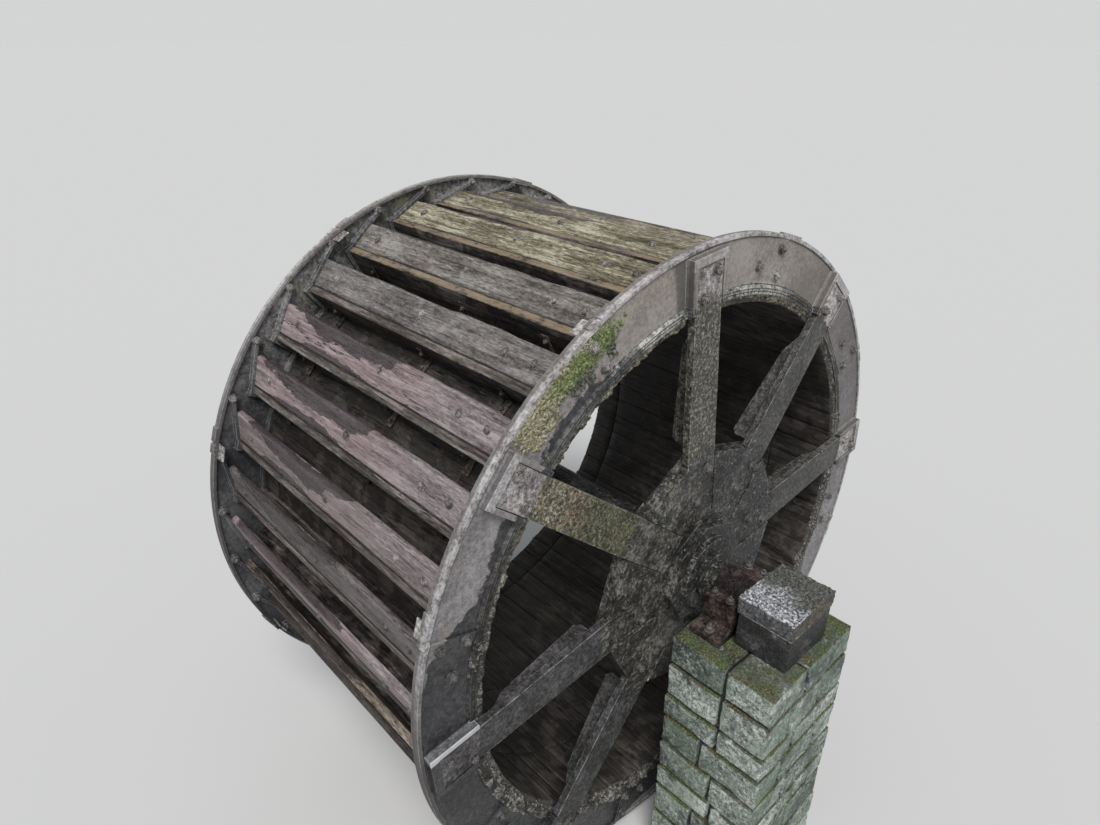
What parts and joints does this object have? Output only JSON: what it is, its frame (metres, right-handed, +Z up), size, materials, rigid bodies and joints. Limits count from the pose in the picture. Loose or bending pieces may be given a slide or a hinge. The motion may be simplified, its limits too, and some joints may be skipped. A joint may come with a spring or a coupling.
{
  "type": "overshot water wheel",
  "caption": "Overshot water wheel with cast-iron shroud rings and arms and elbow buckets of wooden boards, turning in bearings on masonry piers.",
  "frame": {"origin": "on the ground below the middle of the wheel, at the centre of the bounding box's bottom", "axes": "+Z up, +Y along the axle from the near side to the far side, +X horizontal and square to the axle, away from the side where the full buckets go down"},
  "size_m": [3.9998, 4.04, 4.0999],
  "materials": {
    "ring_iron": "weathered, mossy and worn at the rim",
    "arm_iron": "wet, with brown and olive algae",
    "nave_iron": "wet and dark",
    "axle_iron": "dark with rust",
    "outer_board_wood": "weathered, partly wet",
    "floor_board_wood": "wet and dark",
    "sole_board_wood": "wet and dark, mossy ends",
    "bearing_iron": "rusted red-brown",
    "block_stone": "rough and wet",
    "pier_stone": "coursed rubble, damp and mossy at the foot"
  },
  "bodies": {
    "stand": {"near_bearing": "bearing_iron", "near_bearing_cap": "bearing_iron", "near_end_block": "block_stone", "near_cover_slab": "block_stone", "near_pier": "pier_stone", "far_bearing": "bearing_iron", "far_bearing_cap": "bearing_iron", "far_end_block": "block_stone", "far_cover_slab": "block_stone", "far_pier": "pier_stone"},
    "wheel": {"near_shroud_1": "ring_iron", "near_shroud_2": "ring_iron", "near_shroud_3": "ring_iron", "near_shroud_4": "ring_iron", "far_shroud_1": "ring_iron", "far_shroud_2": "ring_iron", "far_shroud_3": "ring_iron", "far_shroud_4": "ring_iron", "near_arm_1": "arm_iron", "near_arm_2": "arm_iron", "near_arm_3": "arm_iron", "near_arm_4": "arm_iron", "near_arm_5": "arm_iron", "near_arm_6": "arm_iron", "near_arm_7": "arm_iron", "near_arm_8": "arm_iron", "far_arm_1": "arm_iron", "far_arm_2": "arm_iron", "far_arm_3": "arm_iron", "far_arm_4": "arm_iron", "far_arm_5": "arm_iron", "far_arm_6": "arm_iron", "far_arm_7": "arm_iron", "far_arm_8": "arm_iron", "outer_boards_1": "outer_board_wood", "outer_boards_2": "outer_board_wood", "outer_boards_3": "outer_board_wood", "outer_boards_4": "outer_board_wood", "floor_boards_1": "floor_board_wood", "floor_boards_2": "floor_board_wood", "floor_boards_3": "floor_board_wood", "floor_boards_4": "floor_board_wood", "sole_boards_1": "sole_board_wood", "sole_boards_2": "sole_board_wood", "sole_boards_3": "sole_board_wood", "sole_boards_4": "sole_board_wood", "near_nave": "nave_iron", "far_nave": "nave_iron", "axle": "axle_iron"}
  },
  "joints": [
    {"name": "wheel_turn", "type": "hinge", "parent": "stand", "child": "wheel", "pos_m": [0, 0, 2.1], "axis": [0, 1, 0], "continuous": true}
  ]
}
